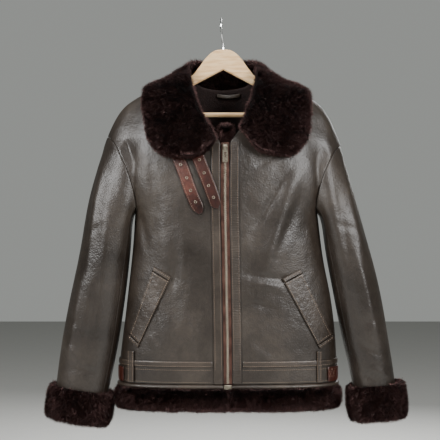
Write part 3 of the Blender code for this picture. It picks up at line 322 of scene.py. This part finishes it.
# creases: start x, z, end x, z, half width, rise outwards (mm, as the jacket is seen from the front)
panelWear = {
    "rumple": 0.8, "rumpleSize": 38, "press": 1.3, "levels": 3, "backLevels": 2,
    "frontCreases": [
        (158, -345, 92, -548, 13, 2.2), (136, -350, 66, -470, 9, -2.2), (176, -380, 118, -520, 10, -1.8),
        (52, -556, 170, -572, 8, -2.6), (60, -570, 150, -590, 9, 1.8), (48, -612, 112, -628, 7, -1.6),
        (-92, -520, -104, -590, 9, -2.2), (-78, -470, -86, -600, 12, 1.6), (-128, -400, -122, -530, 16, 1.8),
        (-150, -330, -138, -420, 10, -1.6), (-176, -420, -158, -500, 9, -1.8), (-60, -560, -84, -690, 14, 1.5),
        (-186, -300, -196, -410, 7, -2.0), (208, -300, 210, -410, 7, -2.0), (-110, -318, -60, -352, 9, -1.2),
        (-150, -590, -128, -660, 6, -1.2), (-190, -640, -120, -732, 9, 1.2), (60, -690, 120, -730, 10, -1.3),
        (120, -300, 70, -330, 9, -1.3), (190, -430, 226, -560, 8, -1.4), (-60, -640, -48, -730, 8, -1.2),
    ],
    "backCreases": [
        (-150, -320, -60, -520, 16, 2.4), (160, -330, 70, -530, 16, 2.4), (-120, -300, -30, -470, 10, -2.0),
        (130, -310, 40, -470, 10, -2.0), (-110, -590, 110, -604, 9, -2.4), (-120, -628, 90, -640, 10, 1.8),
        (-60, -660, 130, -690, 9, -1.6), (-180, -450, -150, -620, 14, 1.6), (190, -450, 160, -620, 14, 1.6),
    ],
    "sleeveCreases": [
        (-255, -300, -292, -520, 9, 2.4), (-276, -330, -300, -560, 8, -1.8), (-240, -380, -262, -620, 12, 1.8),
        (-300, -560, -330, -740, 8, 2.0), (-262, -560, -296, -760, 8, -1.6), (-336, -640, -300, -676, 7, -1.8),
        (-344, -700, -306, -742, 6, 1.6), (-262, -772, -318, -760, 6, -1.6), (-250, -450, -300, -470, 7, -1.2),
        (268, -330, 306, -520, 9, 2.4), (250, -360, 280, -560, 9, -1.8), (290, -500, 340, -700, 9, 2.0),
        (262, -520, 304, -700, 9, -1.5), (350, -640, 306, -668, 7, -1.8), (296, -706, 346, -732, 6, -1.8),
        (318, -756, 362, -776, 6, 1.6), (300, -770, 340, -792, 6, -1.5), (246, -450, 310, -462, 7, -1.2),
    ],
    # where strips, welts and straps lie: only troughs are pressed there
    "covered": [
        (9, -270, 14, -790, 34), (-135, -560, -190, -705, 26), (152, -556, 222, -706, 28), (-194, -715, -194, -790, 14),
        (211, -715, 211, -790, 14), (-94, -300, -42, -430, 20), (-48, -300, -9, -418, 20), (-260, -742, 290, -742, 12),
    ],
}


def pressLeather(piece, creases, face, seed):
    points, normals = readPoints(piece)
    rise = panelWear["rumple"] * softNoise(points, panelWear["rumpleSize"], seed)
    for x0, z0, x1, z1, width, height in creases:
        away, along = nearLine(points, x0, z0, x1, z1)
        rise += panelWear["press"] * height * np.exp(-(away / width) ** 2) * np.sin(math.pi * np.clip(along, 0.04, 0.96)) ** 0.5
    cover = np.ones(len(points))
    for x0, z0, x1, z1, reach in panelWear["covered"] if face == front else []:
        away, _ = nearLine(points, x0, z0, x1, z1)
        cover = np.minimum(cover, np.clip((away - reach) / 10, 0, 1))
    rise = np.where(rise > 0, rise * cover, rise)
    facing = np.clip(normals[:, 1] * face * 1.6, 0, 1)
    points += normals * (rise * facing * mm)[:, None]
    writePoints(piece, points)


def lineInside(piece):
    # faces that look into the jacket show the sheepskin lining
    piece.data.materials.append(lining)
    points, _ = readPoints(piece)
    centre = np.array([points[:, 0].mean(), 0])
    isSleeve = piece.name.startswith("sleeve")
    for face in piece.data.polygons:
        x, y, z = face.center
        middle = 0.0
        if isSleeve:
            middle = np.interp(-z, [0.26, 0.43, 0.6, 0.84], [0.225, 0.258, 0.278, 0.316]) * (1 if centre[0] > 0 else -1)
        outward = Vector((x - middle, y * 2, 0))
        if face.normal.dot(outward) < 0:
            face.material_index = 1


panels = {}
for side in ("left", "right"):
    panels[f"front_{side}"] = smoothPiece(f"frontSkin_{side}", f"front_{side}", leather, panelWear["levels"])
    pressLeather(panels[f"front_{side}"], panelWear["frontCreases"], front, 1)
panels["back"] = smoothPiece("backSkin", "back", leather, panelWear["backLevels"])
pressLeather(panels["back"], panelWear["backCreases"], back, 2)
for side in ("left", "right"):
    for part in ("upper", "under"):
        key = f"sleeve_{side}_{part}"
        panels[key] = smoothPiece(f"sleeveSkin_{side}_{part}", key, leather, panelWear["levels"])
        pressLeather(panels[key], panelWear["sleeveCreases"], front, 3)
        pressLeather(panels[key], panelWear["sleeveCreases"], back, 4)
for panel in panels.values():
    lineInside(panel)
print("panels pressed")


trimShapes = {
    "bands": {"band_left": 3, "band_right": 3, "band_back": 2},
    "strips": {"waist_strip_left": 2, "waist_strip_right": 2, "waist_strip_back": 1},
    "bindings": {"hem_binding_left": 2, "hem_binding_right": 2, "hem_binding_back": 1, "side_binding_left": 3,
                 "side_binding_right": 3, "hanging_loop": 2},
    "welts": {"pocket_welt_left": 3, "pocket_welt_right": 3, "pocket_cap_upper_left": 3, "pocket_cap_upper_right": 3,
              "pocket_cap_lower_left": 3, "pocket_cap_lower_right": 3},
    "crease": {"bands": 0.8, "strips": 0.5, "bindings": 0.75, "welts": 0.5},
    "pinch": 0.32, "pinchPitch": 9.0,
}
trims = {}
for group in ("bands", "strips", "bindings", "welts"):
    for node, levels in trimShapes[group].items():
        material = leather if group == "bands" else trimLeather
        trims[node] = smoothPiece(f"{node}_leather", node, material, levels, trimShapes["crease"][group])
for node in ("band_left", "band_right", "band_back"):
    lineInside(trims[node])
for node in ("waist_strip_left", "waist_strip_right", "waist_strip_back", "hem_binding_left", "hem_binding_right",
             "hem_binding_back", "band_left", "band_right", "pocket_welt_left", "pocket_welt_right"):
    points, normals = readPoints(trims[node])
    pinch = trimShapes["pinch"] * softNoise(points, trimShapes["pinchPitch"], 5)
    points += normals * (np.minimum(pinch, 0.25) * mm)[:, None]
    writePoints(trims[node], points)

# the wide strip is gathered by its stitching into small level puckers
frontStrip = {"levels": {"left": 3, "right": 4}, "pitch": 5.2, "depth": {"left": 0.3, "right": 1.25}}
strips = {}
for side in ("left", "right"):
    strips[side] = smoothPiece(f"frontStrip_{side}_leather", f"front_strip_{side}", trimLeather,
                               frontStrip["levels"][side])
    points, normals = readPoints(strips[side])
    sway = softNoise(points, 26, 6)
    wave = np.sin(points[:, 2] / mm * 2 * math.pi / frontStrip["pitch"] + 2.4 * sway)
    depth = frontStrip["depth"][side] * (0.55 + 0.45 * softNoise(points, 40, 7))
    outward = np.clip(-normals[:, 1], 0, 1)
    points += normals * (depth * wave * outward * mm)[:, None]
    writePoints(strips[side], points)
print("trims shaped")


strapShape = {"levels": 2, "eyeletRadius": 2.6, "eyeletWire": 0.75}
straps = {}
for node in ("collar_strap_outer", "collar_strap_inner", "side_strap_left", "side_strap_right"):
    straps[node] = smoothPiece(f"{node}_leather", node, strapLeather, strapShape["levels"], 0.6)

# eyelet places on the straps: x, z
eyeletPlaces = {
    "collar_strap_outer": [(-86, -322), (-73, -350), (-64.5, -377), (-54, -402)],
    "collar_strap_inner": [(-46, -312), (-36, -340), (-26.5, -367), (-16, -392)],
}
strapTrees = {node: [treeOf(straps[node])] for node in eyeletPlaces}
places = []
for node, spots in eyeletPlaces.items():
    for x, z in spots:
        found = layOn(strapTrees[node], x, z)
        if found:
            places.append(frameAt(found[0] + found[1] * 0.3 * mm, Vector((1, 0, 0)), found[1]))
ring = bmesh.new()
bmesh.ops.create_circle(ring, segments=8, radius=strapShape["eyeletWire"] * mm,
                        matrix=Matrix.Translation((strapShape["eyeletRadius"] * mm, 0, 0)) @ Matrix.Rotation(math.pi / 2, 4, "X"))
bmesh.ops.spin(ring, geom=ring.verts[:] + ring.edges[:], cent=(0, 0, 0), axis=(0, 0, 1), angle=2 * math.pi, steps=14,
               use_merge=True)
bmesh.ops.recalc_face_normals(ring, faces=ring.faces)
eyelets = repeatShape("strapEyelets", ring, places, nickel)
print("straps made")


pileLook = {
    "collar": {"locks": 160000, "length": 6.0, "width": 0.85, "lift": 1.0, "sink": 3.0, "levels": 2, "lumps": 2.0},
    "cuff_left": {"locks": 55000, "length": 5.5, "width": 0.9, "lift": 1.0, "sink": 3.0, "levels": 2, "lumps": 1.6},
    "cuff_right": {"locks": 55000, "length": 5.5, "width": 0.9, "lift": 1.0, "sink": 3.0, "levels": 2, "lumps": 1.6},
    "hem_fur_left": {"locks": 36000, "length": 5.5, "width": 0.9, "lift": 1.0, "sink": 0.8, "levels": 2, "lumps": 1.4},
    "hem_fur_right": {"locks": 36000, "length": 5.5, "width": 0.9, "lift": 1.0, "sink": 0.8, "levels": 2, "lumps": 1.4},
    "hem_fur_back": {"locks": 46000, "length": 6.0, "width": 0.95, "lift": 1.0, "sink": 0.8, "levels": 2, "lumps": 1.4},
    "neck_fur": {"locks": 9000, "length": 6.0, "width": 1.1, "lift": 1.0, "sink": 0.5, "levels": 2, "lumps": 1.0},
}


# tone of a lock at its root and tip (the dark root is painted shade deep in the pile, the pale tip is painted light),
# how far single locks and whole tufts (about 12 mm) differ
pileTone = {"root": 0.04, "tip": 0.54, "each": 0.3, "tuft": 0.16, "tuftScale": 120.0, "scatter": 0.3}


def pileFall(node, points):
    # which way the wool lies: away from the neck on the collar, down on cuffs and hem
    fall = np.zeros_like(points)
    fall[:, 2] = -1.0
    if node == "collar":
        away = points - np.array([0.005, 0.0, -0.16])
        away[:, 2] *= 0.2
        away /= np.linalg.norm(away, axis=1, keepdims=True)
        fall = 0.75 * fall + away
    return fall


def growPile(node, look, seed):
    # the shell under the locks wears the near-black painted shade
    shell = smoothPiece(f"{node}_pile", node, pileRootShade, look["levels"], 0.0)
    points, normals = readPoints(shell)
    lumps = look["lumps"] * softNoise(points, 24, seed)
    points += normals * ((lumps - look["sink"]) * mm)[:, None]
    writePoints(shell, points)
    shell.data.calc_loop_triangles()
    tris = np.array([tri.vertices for tri in shell.data.loop_triangles])
    _, normals = readPoints(shell)
    corners = points[tris]
    area = np.linalg.norm(np.cross(corners[:, 1] - corners[:, 0], corners[:, 2] - corners[:, 0]), axis=1)
    random = np.random.default_rng(seed)
    picked = random.choice(len(tris), look["locks"], p=area / area.sum())
    u, v = np.sqrt(random.random(look["locks"])), random.random(look["locks"])
    share = np.stack([1 - u, u * (1 - v), u * v], axis=1)
    roots = np.einsum("nk,nki->ni", share, corners[picked])
    up = np.einsum("nk,nki->ni", share, normals[tris[picked]])
    up /= np.linalg.norm(up, axis=1, keepdims=True)
    swirl = np.array([noise.noise_vector(Vector(p) * 42) for p in roots])
    lay = pileFall(node, roots) + 1.1 * swirl + 0.45 * random.normal(size=roots.shape)
    lay -= up * np.sum(lay * up, axis=1, keepdims=True)
    lay /= np.linalg.norm(lay, axis=1, keepdims=True)
    across = np.cross(up, lay)
    length = look["length"] * mm * (0.7 + 0.6 * random.random(look["locks"]))[:, None]
    wide = look["width"] * mm * (0.7 + 0.6 * random.random(look["locks"]))[:, None]
    lift = look["lift"] * (0.7 + 0.6 * random.random(look["locks"]))[:, None]
    tip = roots + lay * length + up * length * lift
    rows = np.stack([roots - across * wide / 2, roots + across * wide / 2, tip], axis=1)
    blades = np.arange(look["locks"] * 3).reshape(-1, 3).tolist()
    mesh = bpy.data.meshes.new(f"{node}_locks")
    mesh.from_pydata(rows.reshape(-1, 3).tolist(), [], blades)
    mesh.shade_smooth()
    # locks take the shell's normal, a little scattered, so that the pile shades as one soft plush
    soft = up + pileTone["scatter"] * random.normal(size=up.shape)
    soft /= np.linalg.norm(soft, axis=1, keepdims=True)
    mesh.normals_split_custom_set_from_vertices(np.repeat(soft, 3, axis=0).tolist())
    # every lock gets dark root corners and a pale tip, painted shade in the pile and painted light on the tips, with
    # random tone added
    shade = mesh.attributes.new("lockToneAndPaintedLight", "FLOAT", "POINT")
    tuft = np.array([noise.noise(Vector(p) * pileTone["tuftScale"]) for p in roots])
    tone = (pileTone["each"] * random.random(look["locks"]) + pileTone["tuft"] * tuft)[:, None]
    shade.data.foreach_set("value", (np.array([pileTone["root"], pileTone["root"], pileTone["tip"]]) + tone).ravel())
    locks = bpy.data.objects.new(f"{node}_locks", mesh)
    bpy.context.collection.objects.link(locks)
    mesh.materials.append(pileLocks)
    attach(locks, "jacket")
    return shell


for seed, (node, look) in enumerate(pileLook.items()):
    growPile(node, look, seed + 11)
print("pile grown")


stitchLook = {"pitch": 4.4, "long": 1.55, "thick": 0.42}
centreFront = [(-262, 9.0), (-410, 8.4), (-484, 10.2), (-600, 12.0), (-700, 13.8), (-850, 14.8)]  # height, x
weltCorners = {
    "left": [(-144, -538), (-105, -561), (-178, -715), (-200, -695)],
    "right": [(170, -544), (129, -565), (211, -717), (244, -697)],
}
seams = []


def centreAt(z):
    heights = [row[0] for row in centreFront][::-1]
    return float(np.interp(z, heights, [row[1] for row in centreFront][::-1]))


def sew(trees, points, face=front):
    # stitches along a line of (x, z) points laid on the pieces
    dense = []
    for (x0, z0), (x1, z1) in zip(points, points[1:]):
        steps = max(2, int(math.dist((x0, z0), (x1, z1)) / stitchLook["pitch"]))
        for k in range(steps):
            dense.append((x0 + (x1 - x0) * k / steps, z0 + (z1 - z0) * k / steps, x1 - x0, z1 - z0))
    for x, z, runX, runZ in dense:
        found = layOn(trees, x, z, face)
        if found and found[1].y * face > 0.25:
            seams.append(frameAt(found[0] + found[1] * 0.1 * mm, Vector((runX, 0, runZ)), found[1]))


for side, sign in (("left", -1), ("right", 1)):
    stripTree = [treeOf(strips[side])]
    for reach in (13.0, 26.6):
        sew(stripTree, [(centreAt(z) + sign * reach, z) for z in range(-282, -786, -24)])
    weltTrees = [treeOf(trims[f"{node}_{side}"]) for node in ("pocket_welt", "pocket_cap_upper", "pocket_cap_lower")]
    a, b, c, d = [np.array(corner, float) for corner in weltCorners[side]]
    for share in (0.1, 0.9):
        sew(weltTrees, [tuple(a + (b - a) * share), tuple(d + (c - d) * share)])
    for down in (0.025, 0.085, 0.915, 0.975):
        left, right = a + (d - a) * down, b + (c - b) * down
        sew(weltTrees, [tuple(left + (right - left) * 0.08), tuple(left + (right - left) * 0.92)])
    lowTrees = [treeOf(trims[node]) for node in (f"waist_strip_{side}", f"band_{side}", f"side_binding_{side}")]
    ends = (-212, centreAt(-747) - 34) if side == "left" else (centreAt(-747) + 34, 238)
    for z in (-742.8, -751.2, -759.5, -785.5):
        sew(lowTrees, [(ends[0], z), (sum(ends) / 2, z), (ends[1], z)])
    bindingX = (-199.5, -190) if side == "left" else (206.5, 213.5)
    for x in bindingX:
        sew(lowTrees[2:], [(x, -724), (x, -786)])
backTrees = [treeOf(trims[node]) for node in ("waist_strip_back", "band_back")]
for z in (-742.8, -751.2, -759.5, -785.5):
    sew(backTrees, [(-205, z), (0, z), (238, z)], back)
strapLines = {
    "collar_strap_outer": [(-89, -313), (-78.5, -339), (-68, -370), (-56.5, -398), (-45, -420)],
    "collar_strap_inner": [(-46, -313), (-35.5, -339), (-25, -367), (-17, -389), (-10, -410)],
}
for node, line in strapLines.items():
    for shift in (-10.2, 10.2):
        sew(strapTrees[node], [(x + shift * 0.94, z + shift * 0.34) for x, z in line])
sideTree = [treeOf(straps["side_strap_right"])]
for x in (232, 240):
    sew(sideTree, [(x, -762), (x + 7, -782)])
    sew(sideTree, [(x + 7, -762), (x, -782)])
stitch = bmesh.new()
bmesh.ops.create_icosphere(stitch, subdivisions=1, radius=1.0)
bmesh.ops.scale(stitch, vec=(stitchLook["long"] * mm, stitchLook["thick"] * mm, stitchLook["thick"] * mm), verts=stitch.verts)
stitches = repeatShape("topStitching", stitch, seams, thread)
print("stitches sewn", len(seams))


zipLook = {"pitch": 4.0, "long": 4.6, "tall": 2.1, "deep": 2.4}
for node in ("zip_tape_left", "zip_tape_right"):
    nodes[node].data.materials.clear()
    nodes[node].data.materials.append(tape)
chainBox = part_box("zip_chain")
bm = bmesh.new()
bm.from_mesh(nodes["zip_chain"].data)
chainTree = [BVHTree.FromBMesh(bm)]
bm.free()
teeth = []
for k, z in enumerate(np.arange(chainBox[0].z / mm + 2, chainBox[1].z / mm - 2, zipLook["pitch"] / 2)):
    side = 1 if k % 2 else -1
    found = layOn(chainTree, centreAt(z), z)
    if found:
        place = Vector((centreAt(z) * mm + side * 0.75 * mm, found[0].y + 1.0 * mm, z * mm))
        teeth.append(Matrix.Translation(place))
tooth = bmesh.new()
bmesh.ops.create_cube(tooth, size=1.0)
bmesh.ops.scale(tooth, vec=(zipLook["long"] * mm, zipLook["deep"] * mm, zipLook["tall"] * 0.72 * mm), verts=tooth.verts)
bmesh.ops.bevel(tooth, geom=tooth.edges[:], offset=0.35 * mm, segments=1, profile=0.5, affect="EDGES", material=-1)
zipTeeth = repeatShape("zipTeeth", tooth, teeth, nickel)
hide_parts("zip_chain")
for node, material in (("zip_slider", nickel), ("zip_pull", nickel), ("zip_box", nickel), ("hanger_wood", beech),
                       ("hanger_bar", beech), ("hanger_hook", chrome)):
    nodes[node].data.materials.clear()
    nodes[node].data.materials.append(material)
print("zip and hanger finished")


stageLook = {
    "floor": -1.35, "paper": "dcdcd8", "world": "c9ccc8", "fillStrength": 0.24, "wallStrength": 0.5,
    # place, size, power, aim
    "lamps": [((-1.9, -1.9, 0.7), 1.3, 95), ((1.7, -2.1, 0.6), 1.2, 95), ((0.0, -0.3, 1.8), 1.8, 45),
              ((0.6, 2.3, 0.7), 1.6, 70)],
    "aim": (0.0, 0.0, -0.45),
}
sheetBm = bmesh.new()
bmesh.ops.create_grid(sheetBm, x_segments=2, y_segments=2, size=8.0, matrix=Matrix.Translation((0, 0, stageLook["floor"])))
floorMesh = bpy.data.meshes.new("floor")
sheetBm.to_mesh(floorMesh)
sheetBm.free()
floor = bpy.data.objects.new("floor", floorMesh)
bpy.context.collection.objects.link(floor)
paper, tree, shader, place = startMaterial("seamlessPaper", {"Roughness": 0.9})
fibre = addNode(tree, "ShaderNodeTexNoise", values={"Scale": 30.0, "Detail": 3.0}, links={"Vector": place})
tree.links.new(addNode(tree, "ShaderNodeValToRGB", links={"Fac": fibre.outputs["Fac"]},
                           stops=[(0.0, "d6d6d2"), (1.0, stageLook["paper"])]).outputs["Color"], shader.inputs["Base Color"])
floor.data.materials.append(paper)
# the camera sees a paler wall than the one that lights the leather, so that its gloss keeps its contrast
world = bpy.data.worlds.new("studio")
world.use_nodes = True
tree = world.node_tree
fill = tree.nodes["Background"]
fill.inputs["Color"].default_value = linearColour(stageLook["world"])
fill.inputs["Strength"].default_value = stageLook["fillStrength"]
wall = addNode(tree, "ShaderNodeBackground", values={"Color": linearColour(stageLook["world"]),
               "Strength": stageLook["wallStrength"]})
seen = addNode(tree, "ShaderNodeLightPath")
both = addNode(tree, "ShaderNodeMixShader", links={0: seen.outputs["Is Camera Ray"], 1: fill.outputs["Background"],
               2: wall.outputs["Background"]})
tree.links.new(both.outputs["Shader"], tree.nodes["World Output"].inputs["Surface"])
bpy.context.scene.world = world
for number, (spot, size, power) in enumerate(stageLook["lamps"]):
    lamp = bpy.data.lights.new(f"softbox{number}", "AREA")
    lamp.energy = power
    lamp.size = size
    holder = bpy.data.objects.new(lamp.name, lamp)
    holder.location = spot
    holder.rotation_euler = (Vector(stageLook["aim"]) - Vector(spot)).to_track_quat("-Z", "Y").to_euler()
    bpy.context.collection.objects.link(holder)
view = {"place": (-0.0022, -2.6, -0.44), "width": 0.968}
camera = bpy.data.cameras.new("photoView")
camera.lens = camera.sensor_width * -view["place"][1] / view["width"]
cameraHolder = bpy.data.objects.new("photoView", camera)
cameraHolder.location = view["place"]
cameraHolder.rotation_euler = (math.pi / 2, 0, 0)
bpy.context.collection.objects.link(cameraHolder)
bpy.context.scene.camera = cameraHolder
print("stage set")
